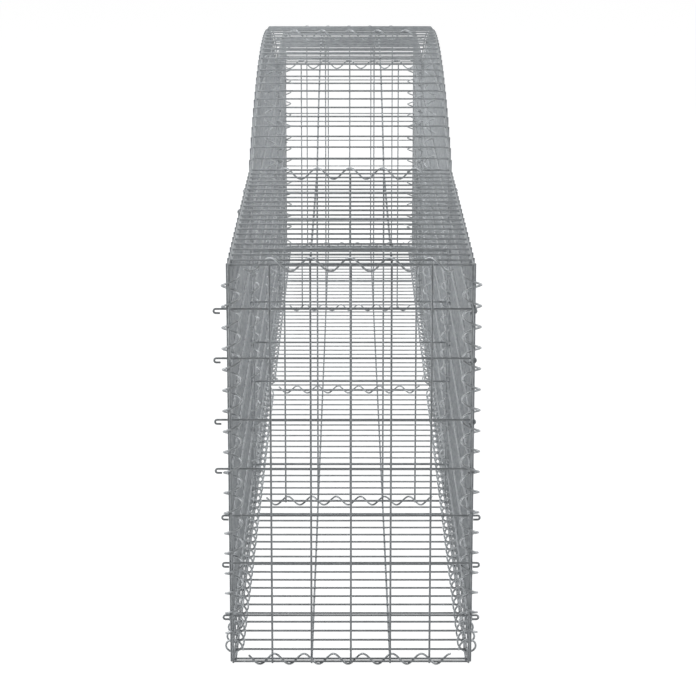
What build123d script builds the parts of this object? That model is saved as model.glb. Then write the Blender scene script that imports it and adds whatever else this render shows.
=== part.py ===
from build123d import *
import math
import os

# Gabion basket of welded wire mesh, four bays long, with an arched lid over the two middle bays.
# X runs across the basket, Y along it and Z up. The origin is the middle of the footprint,
# on the ground, which the lowest turns of the lacing spirals touch.
# The front half, at -Y, is modelled, and the rear half is the same turned about Z.

# Driving dimensions in mm
LENGTH = 4000  # over the uprights of the two end panels
BAY = 1000  # from an end panel to the partition behind it
WIDTH = 450  # between the side walls' long wires
SHOULDER = 780  # from the floor's long wires to the lid's, over the end bays
RISE = 200  # of the arched lid over the two middle bays
WIRE = 4  # wire of the mesh
LACE = 4  # wire of the spirals
GAP = 0.3  # between wires that lie against each other
WELD = 0.2  # how deep a wire is pressed into the one it is welded on

# Mesh of the floor, lid and side walls, in halves that meet at mid length
CELLS = 40  # between the cross wires of one half, or the uprights of one wall
LONG_STEP = 150  # between the middle long wires of the floor and lid
ROW_STEP = 100  # between the long wires of a side wall, from the shoulder down
JOINT = 8  # between the last wires of two halves

# Cross panels: uprights, with tie rods welded on that hook over the side walls
UPRIGHTS = 7
LOW_RODS = (93.25, 198.5, 292.5)  # heights over the floor's long wires
HIGH_RODS = (384.5, 480, 598.5, 692.5)
HIGH_SHIFT = -11  # the high rods sit off to one side
HOOK_OUT = 18  # a hook's reach beyond the side wall's long wires
HOOK_DROP = 8
END_BACK = 12  # how far a hook returns on an end panel
PARTITION_BACK = 4.5  # and on a partition, short of the side walls' long wires

# Lacing spirals, by the diameter over the corners and the pitch of the wire's middle line
SIDES = 6  # straight lengths in one turn of a wide spiral
FINE_SIDES = 8  # and of a narrow one
CORNER_D = 36
CORNER_PITCH = 40
JOINT_PITCH = 50
FOOT_D = 36
SILL_D = 20
SILL_PITCH = 56.25
HEAD_D = 27
HEAD_PITCH = 73.5
END_ROOM = 28  # from a side wall to the last turns of a spiral across the basket
TOP_ROOM = 20  # from the lid's long wires down to the last turn of an upright spiral

# Where each spiral starts, so that its turns pass between the wires that it laces
LEFT_START = 13  # height of a corner spiral over the spiral along the foot
RIGHT_START = 27
PARTITION_START = 12.5
JOINT_START = 1.5
FOOT_START = 20  # past a wall's first upright
SILL_START = 26  # a turn's top, from the middle of the basket
HEAD_START = 1

# Levels of the wires' middle lines
floor_long_z = LACE + GAP + WIRE / 2
floor_cross_z = floor_long_z + WIRE - WELD
lid_long_z = floor_long_z + SHOULDER
lid_cross_z = lid_long_z + WIRE - WELD
wall_top_z = lid_long_z - WIRE - GAP
part_sill_z = floor_long_z + WIRE + GAP

# Places across the basket
half_wall = WIDTH / 2
floor_edge = half_wall - WIRE - GAP
wall_upright_x = half_wall + WIRE - WELD
long_wires_x = (-floor_edge, -LONG_STEP / 2, LONG_STEP / 2, floor_edge)

# Stations along the front half
end_upright_y = -LENGTH / 2
end_rod_y = end_upright_y + WIRE - WELD
mesh_start_y = end_rod_y + WIRE + GAP
mesh_end_y = -JOINT / 2
mesh_step = (mesh_end_y - mesh_start_y) / CELLS
arch_y = LENGTH / 2 - BAY
flat_cells = round((-arch_y - mesh_start_y) / mesh_step)
flat_step = (-arch_y - mesh_start_y) / flat_cells
part_rod_y = mesh_start_y + flat_cells * mesh_step - WIRE - GAP
part_upright_y = part_rod_y - WIRE + WELD

# The arch is one circle through the two shoulders and the crown
arch_r = (arch_y**2 + RISE**2) / (2 * RISE)
arch_centre_z = lid_long_z + RISE - arch_r
shoulder_angle = math.asin(arch_y / arch_r)
crown_angle = math.asin(-mesh_end_y / arch_r)
lid_cell_angle = (shoulder_angle - crown_angle) / (CELLS - flat_cells)

os.makedirs("parts", exist_ok=True)


def finish(builder, name):
    builder.part.label = name
    export_step(builder.part, f"parts/{name}.step", write_pcurves=False)


def make_turned(builder, name):
    """The same piece in the rear half, turned about the basket's middle."""
    with BuildPart() as copy:
        add(builder.part, rotation=(0, 0, 180))
    finish(copy, name)


def arch_z(y, radius):
    return arch_centre_z + math.sqrt(radius**2 - y**2)


def foot_of_arch(level, radius):
    """Where a circle about the arch's centre rises through a level."""
    return -math.sqrt(radius**2 - (level - arch_centre_z) ** 2)


def lid_place(cells, height):
    """Y, Z and lean of a point over the lid's long wires, so many cells from its front edge."""
    if cells <= flat_cells:
        return mesh_start_y + cells * flat_step, lid_long_z + height, 0
    lean = shoulder_angle - (cells - flat_cells) * lid_cell_angle
    radius = arch_r + height
    return -radius * math.sin(lean), arch_centre_z + radius * math.cos(lean), lean


def arched_wire(low, high, start, stop, flat_low, flat_high):
    """Side view of a wire that lies flat and then follows the arch between two radii."""
    foot_low = foot_of_arch(flat_low, low)
    foot_high = foot_of_arch(flat_high, high)
    Polyline((foot_low, flat_low), (start, flat_low), (start, flat_high), (foot_high, flat_high))
    crown_high = (stop, arch_z(stop, high))
    crown_low = (stop, arch_z(stop, low))
    ThreePointArc((foot_high, flat_high), (foot_high / 2, arch_z(foot_high / 2, high)), crown_high)
    Line(crown_high, crown_low)
    ThreePointArc(crown_low, (foot_low / 2, arch_z(foot_low / 2, low)), (foot_low, flat_low))


# Floor: long wires below, cross wires welded on top of them
with BuildPart() as floor:
    floor_middle = (mesh_start_y + mesh_end_y) / 2
    with Locations(*[(x, floor_middle, floor_long_z) for x in long_wires_x]):
        Box(WIRE, mesh_end_y - mesh_start_y + WIRE, WIRE)
    with Locations((0, floor_middle, floor_cross_z)):
        with GridLocations(1, mesh_step, 1, CELLS + 1):
            Box(2 * floor_edge + WIRE, WIRE, WIRE)
finish(floor, "floor_front")
make_turned(floor, "floor_rear")

# Lid: the same mesh, flat over the end bay and arched up to the crown
with BuildPart() as lid:
    for x in long_wires_x:
        with BuildSketch(Plane.YZ.offset(x)):
            with BuildLine():
                arched_wire(
                    arch_r - WIRE / 2,
                    arch_r + WIRE / 2,
                    mesh_start_y - WIRE / 2,
                    mesh_end_y + WIRE / 2,
                    lid_long_z - WIRE / 2,
                    lid_long_z + WIRE / 2,
                )
            make_face()
        extrude(amount=WIRE / 2, both=True)
    lid_places = [lid_place(k, WIRE - WELD) for k in range(CELLS + 1)]
    with Locations(*[Location((0, y, z), (math.degrees(lean), 0, 0)) for y, z, lean in lid_places]):
        Box(2 * floor_edge + WIRE, WIRE, WIRE)
finish(lid, "lid_front")
make_turned(lid, "lid_rear")


# Side wall: uprights outside, cut off along the arch, long wires inside and a wire along the top
def make_wall(name, side):
    top_r = arch_r - WIRE - GAP
    low_r = top_r - WIRE / 2
    high_r = top_r + WIRE / 2
    start = mesh_start_y - WIRE / 2
    stop = mesh_end_y + WIRE / 2
    middle = (start + stop) / 2
    bottom = floor_long_z - WIRE / 2
    shoulder = wall_top_z + WIRE / 2
    cut = shoulder - WELD
    cut_r = high_r - WELD
    crown = arch_z(stop, cut_r)
    foot = foot_of_arch(cut, cut_r)
    rows = [wall_top_z - k * ROW_STEP for k in range(1, int((wall_top_z - WIRE) / ROW_STEP) + 1)]
    high_row = wall_top_z + ROW_STEP
    high_start = foot_of_arch(high_row, top_r)
    x = side * half_wall
    with BuildPart() as wall:
        with Locations((side * wall_upright_x, middle, (bottom + crown) / 2)):
            with GridLocations(1, mesh_step, 1, CELLS + 1):
                Box(WIRE, WIRE, crown - bottom)
        with BuildSketch(Plane.YZ.offset(side * wall_upright_x)):
            with BuildLine():
                Polyline((foot, cut), (start, cut), (start, bottom), (stop, bottom), (stop, crown))
                ThreePointArc((stop, crown), (foot / 2, arch_z(foot / 2, cut_r)), (foot, cut))
            make_face()
        extrude(amount=WIRE, both=True, mode=Mode.INTERSECT)
        with Locations(*[(x, middle, z) for z in (floor_long_z, *rows)]):
            Box(WIRE, stop - start, WIRE)
        with Locations((x, (high_start + stop) / 2, high_row)):
            Box(WIRE, stop - high_start, WIRE)
        with BuildSketch(Plane.YZ.offset(x)):
            with BuildLine():
                arched_wire(low_r, high_r, start, stop, wall_top_z - WIRE / 2, shoulder)
            make_face()
        extrude(amount=WIRE / 2, both=True)
    finish(wall, name)
    return wall


# Cross panel: uprights in front, sill and top wire behind, and the hooked tie rods
def make_panel(name, upright_y, rod_y, sill_z, edge, back):
    reach = half_wall + HOOK_OUT
    rods = [(0, floor_long_z + height) for height in LOW_RODS]
    rods += [(HIGH_SHIFT, floor_long_z + height) for height in HIGH_RODS]
    tips = [(x + side * reach, rod_y, z - HOOK_DROP / 2) for side in (-1, 1) for x, z in rods]
    returns = reach - back / 2
    backs = [(x + side * returns, rod_y, z - HOOK_DROP) for side in (-1, 1) for x, z in rods]
    step = WIDTH / (UPRIGHTS - 1)
    outer = [(x, upright_y, (sill_z + wall_top_z) / 2) for x in (-edge, edge)]
    with BuildPart() as panel:
        with Locations((0, upright_y, (sill_z + wall_top_z) / 2)):
            with GridLocations(step, 1, UPRIGHTS - 2, 1):
                Box(WIRE, WIRE, wall_top_z - sill_z + WIRE)
        with Locations(*outer):
            Box(WIRE, WIRE, wall_top_z - sill_z + WIRE)
        with Locations(*tips):
            Box(WIRE, WIRE, HOOK_DROP + WIRE)
        with Locations(*backs):
            Box(back, WIRE, WIRE)
        with Locations(*[(x, rod_y, z) for x, z in rods]):
            Box(2 * reach, WIRE, WIRE)
        with Locations((0, rod_y, sill_z), (0, rod_y, wall_top_z)):
            Box(2 * edge + WIRE, WIRE, WIRE)
    finish(panel, name)
    return panel


# Lacing spiral: straight lengths from corner to corner of each turn
def make_spiral(name, points):
    with BuildPart() as spiral:
        with BuildLine():
            Polyline(*points)
        heading = Vector(*points[1]) - Vector(*points[0])
        with BuildSketch(Plane(origin=points[0], z_dir=heading)):
            RegularPolygon(LACE / 2, 4)
        sweep(transition=Transition.RIGHT)
    finish(spiral, name)
    return spiral


def upright_spiral(x, y, start, stop, pitch, first_angle):
    """Left-handed, about an upright line."""
    radius = CORNER_D / 2
    points = []
    for k in range(int((stop - start) * SIDES / pitch) + 1):
        angle = first_angle - 2 * math.pi * k / SIDES
        points.append((x + radius * math.cos(angle), y + radius * math.sin(angle), start + k * pitch / SIDES))
    return points


def cross_spiral(y, z, diameter, pitch, top_x):
    """Right-handed, across the basket, with the top of one turn at top_x."""
    radius = diameter / 2
    reach = half_wall - END_ROOM
    advance = pitch / FINE_SIDES
    x = top_x - advance / 2 - advance * int((reach + top_x) / advance)
    points = []
    while x < reach:
        angle = math.pi / 2 + 2 * math.pi * (x - top_x) / pitch
        points.append((x, y + radius * math.cos(angle), z + radius * math.sin(angle)))
        x += advance
    return points


def foot_spiral(side):
    """Along the foot of a side wall, from the first upright to the last."""
    radius = FOOT_D / 2
    points = []
    for k in range(SIDES * (CELLS - 1)):
        angle = 2 * math.pi * k / SIDES
        x = side * (foot_x - radius * math.cos(angle))
        y = mesh_start_y + FOOT_START + k * mesh_step / SIDES
        points.append((x, y, foot_axis_z + radius * math.sin(angle)))
    return points


def to_flat(diameter, sides):
    """From a spiral's axis to the middle line of its straight lengths."""
    return diameter / 2 * math.cos(math.pi / sides)


# Axes of the spirals: each lies with its straight lengths against a wire that it laces
touching = WIRE / 2 + GAP + LACE / 2
spiral_x = half_wall - 3
foot_x = half_wall - 0.5
foot_axis_z = LACE / 2 + to_flat(FOOT_D, SIDES)
joint_x = wall_upright_x + touching - to_flat(CORNER_D, SIDES)
corner_back = to_flat(CORNER_D, SIDES) - touching
sill_axis_z = LACE / 2 + to_flat(SILL_D, FINE_SIDES)
sill_forward = 0.4
head_axis_z = lid_cross_z + touching - to_flat(HEAD_D, FINE_SIDES)
head_back = 2
# over the crown, a sloping length clears the outer edges of the lids' last wires
crown_slope = math.sqrt(2) * (to_flat(HEAD_D, FINE_SIDES) - GAP - LACE / 2)
crown_axis_z = lid_cross_z + RISE + WIRE / 2 + JOINT / 2 + WIRE / 2 - crown_slope

# Upright spirals stand over the ones along the foot and end under the lid
spiral_low = foot_axis_z + to_flat(FOOT_D, SIDES) + LACE / 2
spiral_high = lid_long_z - TOP_ROOM

for side_name, side in (("right", 1), ("left", -1)):
    other = "left" if side > 0 else "right"
    wall = make_wall(f"{side_name}_wall_front", side)
    make_turned(wall, f"{other}_wall_rear")
    spiral = make_spiral(f"{side_name}_foot_spiral_front", foot_spiral(side))
    make_turned(spiral, f"{other}_foot_spiral_rear")

panel = make_panel("front_end_panel", end_upright_y, end_rod_y, floor_long_z, half_wall, END_BACK)
make_turned(panel, "rear_end_panel")
panel = make_panel("front_partition", part_upright_y, part_rod_y, part_sill_z, floor_edge, PARTITION_BACK)
make_turned(panel, "rear_partition")

for place, rod_y in (("", end_rod_y), ("_partition", part_rod_y)):
    points = cross_spiral(rod_y - sill_forward, sill_axis_z, SILL_D, SILL_PITCH, SILL_START)
    spiral = make_spiral(f"front{place}_sill_spiral", points)
    make_turned(spiral, f"rear{place}_sill_spiral")
    points = cross_spiral(rod_y + head_back, head_axis_z, HEAD_D, HEAD_PITCH, HEAD_START)
    spiral = make_spiral(f"front{place}_head_spiral", points)
    make_turned(spiral, f"rear{place}_head_spiral")

corners = (
    ("left", "corner", -spiral_x, end_upright_y, LEFT_START),
    ("right", "corner", half_wall - 1, end_upright_y, RIGHT_START),
    ("left", "partition", -half_wall, part_upright_y, PARTITION_START),
    ("right", "partition", half_wall - 1, part_upright_y, RIGHT_START),
)
for side_name, place, x, upright_y, rise in corners:
    other = "left" if x > 0 else "right"
    y = upright_y + corner_back
    points = upright_spiral(x, y, spiral_low + rise, spiral_high, CORNER_PITCH, 0)
    spiral = make_spiral(f"{side_name}_{place}_spiral_front", points)
    make_turned(spiral, f"{other}_{place}_spiral_rear")

# Spirals where the halves meet, at mid length
joint_low = spiral_low + JOINT_START
joint_points = upright_spiral(-joint_x, 0, joint_low, spiral_high + RISE, JOINT_PITCH, math.pi / SIDES)
joint_spiral = make_spiral("left_joint_spiral", joint_points)
make_turned(joint_spiral, "right_joint_spiral")
make_spiral("floor_joint_spiral", cross_spiral(0, sill_axis_z, SILL_D, SILL_PITCH, SILL_START))
make_spiral("crown_joint_spiral", cross_spiral(0, crown_axis_z, HEAD_D, HEAD_PITCH, HEAD_START))
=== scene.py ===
import math

import bpy
from mathutils import Matrix, Vector


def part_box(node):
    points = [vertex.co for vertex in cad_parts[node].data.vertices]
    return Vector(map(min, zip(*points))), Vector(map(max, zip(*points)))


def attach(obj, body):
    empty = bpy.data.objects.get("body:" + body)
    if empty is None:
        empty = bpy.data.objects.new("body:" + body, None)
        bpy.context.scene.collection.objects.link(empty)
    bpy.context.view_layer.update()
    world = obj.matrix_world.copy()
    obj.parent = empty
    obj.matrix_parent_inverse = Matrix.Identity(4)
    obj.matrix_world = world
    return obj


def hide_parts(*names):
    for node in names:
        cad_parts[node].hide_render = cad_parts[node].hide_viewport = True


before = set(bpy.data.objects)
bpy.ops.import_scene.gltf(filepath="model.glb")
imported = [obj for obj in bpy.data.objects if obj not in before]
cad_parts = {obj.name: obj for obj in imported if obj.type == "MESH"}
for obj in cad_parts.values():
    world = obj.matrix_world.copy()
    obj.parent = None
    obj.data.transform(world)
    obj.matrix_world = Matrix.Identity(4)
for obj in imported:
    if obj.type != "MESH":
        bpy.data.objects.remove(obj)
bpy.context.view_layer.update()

# Gabion basket of galvanised welded mesh. Every node of the frame is made again in round wire:
# the mesh with its weld spots, the bent tie rods, and smooth lacing spirals. Sizes are in metres.
# The front half is modelled, and the rear half is the same turned about Z, as in the frame.

WIRE = 0.004
WIRE_SIDES = 10
CELLS = 40  # of the mesh in one half, along the basket
LONG_STEP = 0.150
ROW_STEP = 0.100
UPRIGHTS = 7
BAY = 1.0
RISE = 0.200
SHOULDER_BEND = 0.020  # radius of the bend where a long wire leaves the flat
WELD = 0.0002  # how deep a wire is pressed into the one it is welded on
BEAD = 0.6 * WIRE  # radius of the bead at a weld
BEAD_FLATNESS = 0.4
CUT_END = 0.15 * WIRE  # how far a cut end is rounded

# Tie rods, bent to a hook at each end, as heights over the floor's long wires
LOW_RODS = (0.09325, 0.1985, 0.2925)
HIGH_RODS = (0.3845, 0.480, 0.5985, 0.6925)
HOOK_DROP = 0.008
END_BACK = 0.012  # how far a hook returns on an end panel
PARTITION_BACK = 0.0045

# Lacing spirals, by the diameter and pitch of the wire's middle line
WIDE_D = 0.034
SILL_D = 0.0192
HEAD_D = 0.0248
CORNER_PITCH = 0.040
JOINT_PITCH = 0.050
SILL_PITCH = 0.05625
HEAD_PITCH = 0.0735
SILL_TOP = 0.026  # where a turn is at its top, from the middle of the basket
HEAD_TOP = 0.001
JOINT_START = 30  # degrees from X at an upright spiral's foot
RIGHT_START = 0
LEFT_STARTS = (("corner", 70), ("partition", 60))
TURN_STEPS = 20  # facets in one turn

# Levels and places, read from the frame
floor_low, floor_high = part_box("floor_front")
lid_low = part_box("lid_front")[0]
wall_low, wall_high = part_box("right_wall_front")
panel_low, panel_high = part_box("front_end_panel")
partition_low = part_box("front_partition")[0]

half_wire = WIRE / 2
weld_lift = WIRE - WELD
floor_long_z = floor_low[2] + half_wire
mesh_start = floor_low[1] + half_wire
mesh_end = floor_high[1] - half_wire
mesh_middle = (mesh_start + mesh_end) / 2
mesh_length = mesh_end - mesh_start + WIRE
mesh_step = (mesh_end - mesh_start) / CELLS
floor_edge = floor_high[0] - half_wire
long_wires = (-floor_edge, -LONG_STEP / 2, LONG_STEP / 2, floor_edge)
lid_long_z = lid_low[2] + half_wire
wall_top_z = panel_high[2] - half_wire
wall_row_x = wall_low[0] + half_wire
wall_upright_x = wall_high[0] - half_wire
end_upright_y = panel_low[1] + half_wire
part_upright_y = partition_low[1] + half_wire
part_sill_z = partition_low[2] + half_wire
hook_reach = panel_high[0] - half_wire
high_shift = panel_low[0] + half_wire + hook_reach

arch_y = -end_upright_y - BAY
arch_radius = (arch_y**2 + RISE**2) / (2 * RISE)
arch_centre = lid_long_z + RISE - arch_radius
shoulder_angle = math.asin(arch_y / arch_radius)
crown_angle = math.asin(-mesh_end / arch_radius)
flat_cells = round((-arch_y - mesh_start) / mesh_step)
flat_step = (-arch_y - mesh_start) / flat_cells
arch_step = (shoulder_angle - crown_angle) / (CELLS - flat_cells)
top_radius = arch_radius - lid_long_z + wall_top_z

# From a wire along X to one along Y or Z, and from a flat weld to one in a wall or a panel
ALONG_Y = Matrix.Rotation(math.pi / 2, 4, "Z")
ALONG_Z = Matrix.Rotation(-math.pi / 2, 4, "Y")
IN_WALL = Matrix.Rotation(math.pi / 2, 4, "Y")
IN_PANEL = Matrix.Rotation(math.pi / 2, 4, "X")
TURNED = Matrix.Rotation(math.pi, 4, "Z")


def at(x, y, z, lean=0):
    """A place in the basket, leaning as the lid does on the arch."""
    return Matrix.Translation((x, y, z)) @ Matrix.Rotation(lean, 4, "X")


def lid_place(cells, lift):
    """Y, Z and lean over the lid's long wires, so many cells from its front edge."""
    if cells <= flat_cells:
        return mesh_start + cells * flat_step, lid_long_z + lift, 0
    lean = shoulder_angle - (cells - flat_cells) * arch_step
    radius = arch_radius + lift
    return -radius * math.sin(lean), arch_centre + radius * math.cos(lean), lean


def foot_of_arch(level, radius):
    """Where a circle about the arch's centre rises through a level."""
    return -math.sqrt(radius**2 - (level - arch_centre) ** 2)


# ---------------------------------------------------------------- wires


def pick(pieces):
    bpy.ops.object.select_all(action="DESELECT")
    for piece in pieces:
        piece.select_set(True)
    bpy.context.view_layer.objects.active = pieces[0]


def apply_all(piece):
    """Put the piece's place and modifiers into its mesh."""
    pick([piece])
    bpy.ops.object.transform_apply(location=True, rotation=True, scale=True)
    for modifier in list(piece.modifiers):
        bpy.ops.object.modifier_apply(modifier=modifier.name)
    return piece


def make_straight_wire():
    """One metre of drawn wire along X, its cut ends slightly rounded."""
    bpy.ops.mesh.primitive_cylinder_add(
        vertices=WIRE_SIDES, radius=half_wire, depth=1, rotation=(0, math.pi / 2, 0)
    )
    wire = bpy.context.object
    burr = wire.modifiers.new("Cut ends", "BEVEL")
    burr.width = CUT_END
    burr.segments = 1
    burr.angle_limit = math.radians(60)
    return apply_all(wire)


def make_weld_spot():
    """The bead pressed out where two wires cross and are welded, filled out by the zinc."""
    bpy.ops.mesh.primitive_uv_sphere_add(segments=8, ring_count=5, radius=BEAD)
    spot = bpy.context.object
    spot.scale.z = BEAD_FLATNESS
    return apply_all(spot)


def new_piece(mesh):
    piece = bpy.data.objects.new("piece", mesh)
    bpy.context.collection.objects.link(piece)
    return piece


def lay(length, place):
    """A straight wire of its own length, cut from the one that was modelled."""
    mesh = straight_wire.data.copy()
    for vertex in mesh.vertices:
        vertex.co.x += math.copysign(0.5, vertex.co.x) * (length - 1)
    mesh.transform(place)
    return new_piece(mesh)


def weld(place):
    mesh = weld_spot.data.copy()
    mesh.transform(place)
    return new_piece(mesh)


def start_wire(centre, heading):
    """Start a bent wire with a ring across its heading, and stay in edit mode."""
    bpy.ops.object.select_all(action="DESELECT")
    bpy.ops.mesh.primitive_circle_add(vertices=WIRE_SIDES, radius=half_wire)
    facing = Vector(heading).to_track_quat("Z", "Y").to_matrix().to_4x4()
    bpy.context.object.data.transform(Matrix.Translation(centre) @ facing)
    bpy.ops.object.mode_set(mode="EDIT")
    bpy.ops.mesh.select_all(action="SELECT")


def run_on(x, y, z):
    bpy.ops.mesh.extrude_region_move(TRANSFORM_OT_translate={"value": (x, y, z)})


def bend(angle, centre, axis, steps):
    """Turn the wire's end about an axis. Spin turns the other way round, so the sign is changed."""
    bpy.ops.mesh.spin(steps=steps, angle=-angle, center=centre, axis=axis)


def end_wire():
    """Close both ends of a bent wire and turn its skin outwards."""
    bpy.ops.mesh.select_all(action="SELECT")
    bpy.ops.mesh.fill_holes(sides=WIRE_SIDES)
    bpy.ops.mesh.select_all(action="SELECT")
    bpy.ops.mesh.normals_make_consistent(inside=False)
    bpy.ops.object.mode_set(mode="OBJECT")
    return bpy.context.object


def arched_wire(x, radius, level):
    """A long wire, straight over the end bay and then bent to the arch."""
    foot = foot_of_arch(level, radius)
    rise_angle = math.asin(-foot / radius)
    set_back = SHOULDER_BEND * math.tan(rise_angle / 2)
    end_angle = math.asin(-(mesh_end + half_wire) / radius)
    start_wire((x, mesh_start - half_wire, level), (0, 1, 0))
    run_on(0, foot - set_back - mesh_start + half_wire, 0)
    bend(rise_angle, (x, foot - set_back, level + SHOULDER_BEND), (1, 0, 0), 3)
    sweep = rise_angle - set_back / radius - end_angle
    bend(-sweep, (x, 0, arch_centre), (1, 0, 0), 2 * (CELLS - flat_cells))
    return end_wire()


def hooked_rod(shift, y, z, back):
    """A tie rod with both ends bent down and back under it."""
    turn = HOOK_DROP / 2
    bend_x = hook_reach - turn
    start_wire((shift - hook_reach + back, y, z - HOOK_DROP), (-1, 0, 0))
    run_on(turn - back, 0, 0)
    bend(math.pi, (shift - bend_x, y, z - turn), (0, 1, 0), 8)
    run_on(2 * bend_x, 0, 0)
    bend(math.pi, (shift + bend_x, y, z - turn), (0, 1, 0), 8)
    run_on(turn - back, 0, 0)
    return end_wire()


def make_spiral(origin, axis, start, diameter, pitch, length, hand=1):
    """A lacing spiral along an axis, from a point in the start direction. Hand is -1 for left."""
    radius = diameter / 2
    turns = length / pitch
    slope = math.atan2(pitch, 2 * math.pi * radius)
    bpy.ops.object.select_all(action="DESELECT")
    bpy.ops.mesh.primitive_circle_add(
        vertices=WIRE_SIDES,
        radius=half_wire,
        location=(radius, 0, 0),
        rotation=(math.pi / 2 + hand * slope, 0, 0),
    )
    wire = bpy.context.object
    winding = wire.modifiers.new("Winding", "SCREW")
    winding.angle = hand * 2 * math.pi * turns
    winding.screw_offset = length
    winding.steps = winding.render_steps = round(TURN_STEPS * turns)
    apply_all(wire)
    bpy.ops.object.mode_set(mode="EDIT")
    end_wire()
    across = Vector(axis).cross(Vector(start))
    turned = Matrix((Vector(start), across, Vector(axis))).transposed().to_4x4()
    wire.data.transform(Matrix.Translation(origin) @ turned)
    return wire


# ---------------------------------------------------------------- the front half

straight_wire = make_straight_wire()
weld_spot = make_weld_spot()
made = {}  # each node's wires


def set_node(name, wires):
    """All the wires of one node become one piece."""
    pick(wires)
    if len(wires) > 1:
        bpy.ops.object.join()
    made[name] = bpy.context.object


# Floor: long wires below, cross wires welded on top of them
cross_wire = 2 * floor_edge + WIRE
stations = [mesh_start + k * mesh_step for k in range(CELLS + 1)]
wires = [lay(mesh_length, at(x, mesh_middle, floor_long_z) @ ALONG_Y) for x in long_wires]
wires += [lay(cross_wire, at(0, y, floor_long_z + weld_lift)) for y in stations]
wires += [weld(at(x, y, floor_long_z + weld_lift / 2)) for x in long_wires for y in stations]
set_node("floor_front", wires)

# Lid: the same mesh, flat over the end bay and arched up to the crown
wires = [arched_wire(x, arch_radius, lid_long_z) for x in long_wires]
wires += [lay(cross_wire, at(0, *lid_place(k, weld_lift))) for k in range(CELLS + 1)]
wires += [weld(at(x, *lid_place(k, weld_lift / 2))) for x in long_wires for k in range(CELLS + 1)]
set_node("lid_front", wires)


# Side walls: uprights outside, cut off along the arch, long wires inside and one along the top
def wall_top(y):
    """Height of the top wire's middle line."""
    foot = foot_of_arch(wall_top_z, top_radius)
    return wall_top_z if y < foot else arch_centre + math.sqrt(top_radius**2 - y**2)


rows = [wall_top_z - k * ROW_STEP for k in range(1, int(wall_top_z / ROW_STEP) + 1)]
rows.append(floor_long_z)
high_row = wall_top_z + ROW_STEP
high_start = foot_of_arch(high_row, top_radius)
wall_bottom = floor_long_z - half_wire

for name, side in (("right_wall_front", 1), ("left_wall_front", -1)):
    x = side * wall_row_x
    upright_x = side * wall_upright_x
    wires = [arched_wire(x, top_radius, wall_top_z)]
    wires += [lay(mesh_length, at(x, mesh_middle, z) @ ALONG_Y) for z in rows]
    high_length = mesh_end + half_wire - high_start
    wires.append(lay(high_length, at(x, high_start + high_length / 2, high_row) @ ALONG_Y))
    for y in stations:
        top = wall_top(y) + half_wire - WELD
        wires.append(lay(top - wall_bottom, at(upright_x, y, (top + wall_bottom) / 2) @ ALONG_Z))
        heights = rows + [wall_top(y)] + ([high_row] if y > high_start else [])
        wires += [weld(at((x + upright_x) / 2, y, z) @ IN_WALL) for z in heights]
    set_node(name, wires)

# Cross panels: uprights in front, sill and top wire behind, and the tie rods
upright_step = 2 * wall_row_x / (UPRIGHTS - 1)
inner = [(k - UPRIGHTS // 2) * upright_step for k in range(1, UPRIGHTS - 1)]
rods = [(0, floor_long_z + height) for height in LOW_RODS]
rods += [(high_shift, floor_long_z + height) for height in HIGH_RODS]

for name, upright_y, sill_z, edge, back in (
    ("front_end_panel", end_upright_y, floor_long_z, wall_row_x, END_BACK),
    ("front_partition", part_upright_y, part_sill_z, floor_edge, PARTITION_BACK),
):
    rod_y = upright_y + weld_lift
    places = (-edge, *inner, edge)
    height = wall_top_z - sill_z + WIRE
    wires = [lay(height, at(x, upright_y, (sill_z + wall_top_z) / 2) @ ALONG_Z) for x in places]
    wires += [lay(2 * edge + WIRE, at(0, rod_y, z)) for z in (sill_z, wall_top_z)]
    wires += [hooked_rod(shift, rod_y, z, back) for shift, z in rods]
    levels = [sill_z, wall_top_z] + [z for _, z in rods]
    weld_y = (upright_y + rod_y) / 2
    wires += [weld(at(x, weld_y, z) @ IN_PANEL) for x in places for z in levels]
    set_node(name, wires)


# Spirals keep the side on which the frame's ones lie against a wire
def middle(low, high, axis):
    return (low[axis] + high[axis]) / 2


def add_upright_spiral(name, pitch, degrees, hand=-1):
    """A spiral up a corner or a joint. Its start is given in degrees from X."""
    low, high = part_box(name)
    seat = half_wire + WIDE_D / 2
    if "joint" in name:
        x, y = low[0] + seat, middle(low, high, 1)
    else:
        x, y = middle(low, high, 0), low[1] + seat
    first_angle = math.radians(degrees)
    start = (math.cos(first_angle), math.sin(first_angle), 0)
    length = high[2] - low[2] - WIRE
    origin = (x, y, low[2] + half_wire)
    set_node(name, [make_spiral(origin, (0, 0, 1), start, WIDE_D, pitch, length, hand)])


def add_cross_spiral(name, diameter, pitch, top_x):
    """A right-handed spiral across the basket, on the ground or over the lid."""
    low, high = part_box(name)
    seat = half_wire + diameter / 2
    z = low[2] + seat if "sill" in name or "floor" in name else high[2] - seat
    x = low[0] + half_wire
    first_angle = math.pi / 2 + 2 * math.pi * (x - top_x) / pitch
    start = (0, math.cos(first_angle), math.sin(first_angle))
    length = high[0] - low[0] - WIRE
    origin = (x, middle(low, high, 1), z)
    set_node(name, [make_spiral(origin, (1, 0, 0), start, diameter, pitch, length)])


for name, left_start in LEFT_STARTS:
    add_upright_spiral(f"right_{name}_spiral_front", CORNER_PITCH, RIGHT_START)
    add_upright_spiral(f"left_{name}_spiral_front", CORNER_PITCH, left_start, hand=1)
add_upright_spiral("left_joint_spiral", JOINT_PITCH, JOINT_START)
for name in ("front_sill_spiral", "front_partition_sill_spiral", "floor_joint_spiral"):
    add_cross_spiral(name, SILL_D, SILL_PITCH, SILL_TOP)
for name in ("front_head_spiral", "front_partition_head_spiral", "crown_joint_spiral"):
    add_cross_spiral(name, HEAD_D, HEAD_PITCH, HEAD_TOP)

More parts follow.
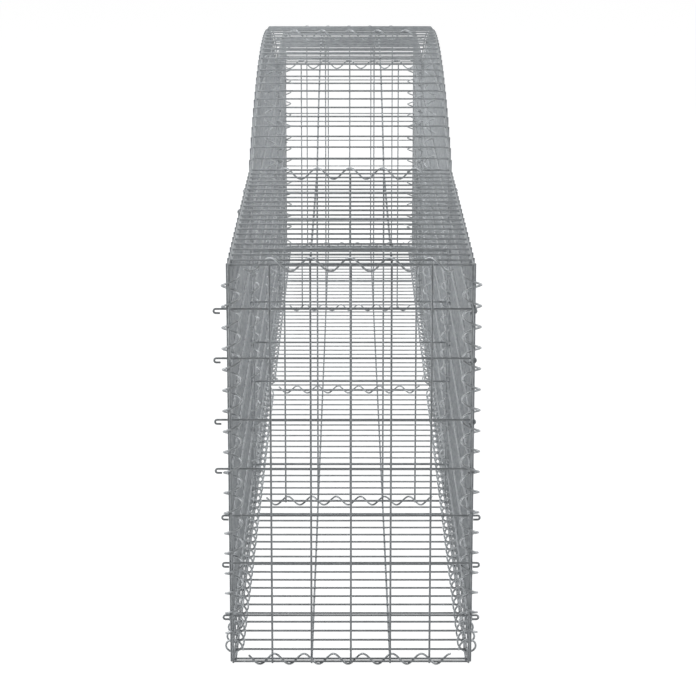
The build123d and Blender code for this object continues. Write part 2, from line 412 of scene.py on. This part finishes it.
for side_name, side in (("right", 1), ("left", -1)):
    name = f"{side_name}_foot_spiral_front"
    low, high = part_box(name)
    length = high[1] - low[1] - WIRE
    origin = (middle(low, high, 0), low[1] + half_wire, low[2] + half_wire + WIDE_D / 2)
    start = (-side, 0, 0)
    set_node(name, [make_spiral(origin, (0, 1, 0), start, WIDE_D, mesh_step, length, hand=side)])

# The rear half, and what each piece stands for
OPPOSITE = {"front": "rear", "left": "right", "right": "left"}
for name in list(made):
    turned_name = "_".join(OPPOSITE.get(word, word) for word in name.split("_"))
    if turned_name != name:
        mesh = made[name].data.copy()
        mesh.transform(TURNED)
        made[turned_name] = new_piece(mesh)

bpy.data.objects.remove(straight_wire)
bpy.data.objects.remove(weld_spot)


# ---------------------------------------------------------------- materials


def colour(code):
    """A linear colour from an sRGB hex code."""
    parts = [int(code[k : k + 2], 16) / 255 for k in (1, 3, 5)]
    return (*[c / 12.92 if c <= 0.04045 else ((c + 0.055) / 1.055) ** 2.4 for c in parts], 1)


def add_node(tree, kind, inputs=None, **settings):
    """A shader node with its settings, its inputs given as values or as sockets to link."""
    made_node = tree.nodes.new(kind)
    for key, value in settings.items():
        setattr(made_node, key, value)
    for key, value in (inputs or {}).items():
        if isinstance(value, bpy.types.NodeSocket):
            tree.links.new(value, made_node.inputs[key])
        else:
            made_node.inputs[key].default_value = value
    return made_node


def ramp(tree, factor, stops):
    made_node = add_node(tree, "ShaderNodeValToRGB", {"Fac": factor})
    elements = made_node.color_ramp.elements
    while len(elements) < len(stops):
        elements.new(0.5)
    for element, (position, code) in zip(elements, stops):
        element.position = position
        element.color = colour(code)
    return made_node.outputs["Color"]


def per_mm(size):
    """A noise's scale from the size of its patches in mm."""
    return 1000 / size


def zinc_wire(name, stops, patch, roughness):
    """Hot-dip galvanised wire gone dull with zinc patina: mid grey, faintly cloudy, soft glints."""
    material = bpy.data.materials.new(name)
    material.use_nodes = True
    tree = material.node_tree
    shader = tree.nodes["Principled BSDF"]
    place = add_node(tree, "ShaderNodeTexCoord").outputs["Object"]
    clouds = add_node(
        tree, "ShaderNodeTexNoise", {"Vector": place, "Scale": per_mm(patch), "Detail": 3.0}
    ).outputs["Fac"]
    dull = add_node(
        tree,
        "ShaderNodeMapRange",
        {
            "Value": clouds,
            "From Min": 0.3,
            "From Max": 0.7,
            "To Min": roughness,
            "To Max": roughness + 0.2,
        },
    ).outputs["Result"]
    grain = add_node(
        tree, "ShaderNodeTexNoise", {"Vector": place, "Scale": per_mm(1.5), "Detail": 2.0}
    ).outputs["Fac"]
    skin = add_node(
        tree, "ShaderNodeBump", {"Height": grain, "Strength": 0.15, "Distance": 0.0002}
    ).outputs["Normal"]
    tree.links.new(ramp(tree, clouds, stops), shader.inputs["Base Color"])
    tree.links.new(dull, shader.inputs["Roughness"])
    tree.links.new(skin, shader.inputs["Normal"])
    shader.inputs["Metallic"].default_value = 0.1
    return material


mesh_zinc = zinc_wire(
    "Galvanised mesh wire", ((0.3, "#818588"), (0.5, "#8f9396"), (0.72, "#9da1a4")), 12, 0.4
)
# The lacing wire is a lighter zinc than the mesh wire, and its base colour is also raised as a
# painted sheen for the bright highlights on the coils.
lacing_zinc_with_painted_sheen = zinc_wire(
    "Galvanised lacing wire with painted sheen", ((0.3, "#8f9396"), (0.5, "#9fa3a6"), (0.72, "#afb3b6")), 9, 0.26
)

for name, piece in made.items():
    laced = "spiral" in name
    piece.name = f"round_{name}"
    piece.data.materials.append(lacing_zinc_with_painted_sheen if laced else mesh_zinc)
    pick([piece])
    bpy.ops.object.shade_smooth_by_angle(angle=math.radians(50))
    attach(piece, "root")
    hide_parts(name)


# ---------------------------------------------------------------- floor, light and camera


def plain_background(tree, shader, white):
    """White to the camera and in reflections, and the shader's own light on everything else."""
    seen = add_node(tree, "ShaderNodeLightPath").outputs
    flags = [seen["Is Camera Ray"], seen["Is Glossy Ray"], seen["Is Transmission Ray"]]
    most = add_node(tree, "ShaderNodeMath", {0: flags[0], 1: flags[1]}, operation="MAXIMUM")
    most = add_node(tree, "ShaderNodeMath", {0: most.outputs[0], 1: flags[2]}, operation="MAXIMUM")
    mix = add_node(tree, "ShaderNodeMixShader", {"Fac": most.outputs[0], 1: shader, 2: white})
    return mix.outputs["Shader"]


world = bpy.data.worlds.new("Studio")
bpy.context.scene.world = world
world.use_nodes = True
tree = world.node_tree
soft = add_node(tree, "ShaderNodeBackground", {"Color": colour("#ffffff"), "Strength": 0.12})
white = add_node(tree, "ShaderNodeBackground", {"Color": colour("#ffffff"), "Strength": 1.0})
background = plain_background(tree, soft.outputs[0], white.outputs[0])
tree.links.new(background, tree.nodes["World Output"].inputs["Surface"])

bpy.ops.mesh.primitive_plane_add(size=80)
ground = bpy.context.object
ground.name = "studio_floor"
paper = bpy.data.materials.new("White studio floor")
paper.use_nodes = True
tree = paper.node_tree
matt = add_node(tree, "ShaderNodeBsdfDiffuse", {"Color": colour("#f4f4f4")})
faint = add_node(tree, "ShaderNodeBsdfDiffuse", {"Color": colour("#6e6e6e")})
glow = add_node(tree, "ShaderNodeEmission", {"Color": colour("#ffffff"), "Strength": 0.97})
lifted = add_node(tree, "ShaderNodeAddShader", {0: faint.outputs[0], 1: glow.outputs[0]})
surface = plain_background(tree, matt.outputs[0], lifted.outputs[0])
tree.links.new(surface, tree.nodes["Material Output"].inputs["Surface"])
ground.data.materials.append(paper)


def add_lamp(name, place, size, power):
    """A soft square lamp that faces the middle of the basket."""
    lamp = bpy.data.lights.new(name, "AREA")
    lamp.size = size
    lamp.energy = power
    holder = bpy.data.objects.new(name, lamp)
    bpy.context.collection.objects.link(holder)
    holder.location = place
    holder.rotation_euler = (Vector((0, 0, 0.4)) - Vector(place)).to_track_quat("-Z", "Y").to_euler()


add_lamp("Left", (-6.5, -1.6, 1.7), 1.6, 390)
add_lamp("Right", (6.5, -1.6, 1.7), 1.6, 330)
add_lamp("Top", (-1.2, 1.5, 6.0), 1.0, 180)

lens = bpy.data.cameras.new("Camera")
lens.sensor_width = 36
lens.lens = 120.85
lens.shift_y = -0.03
lens.clip_end = 200
camera = bpy.data.objects.new("Camera", lens)
bpy.context.collection.objects.link(camera)
camera.location = (-0.0055, -6.2, 1.6680)
camera.rotation_euler = (math.radians(90 - 13.43), 0, 0)
bpy.context.scene.camera = camera
bpy.context.scene.view_settings.view_transform = "Standard"
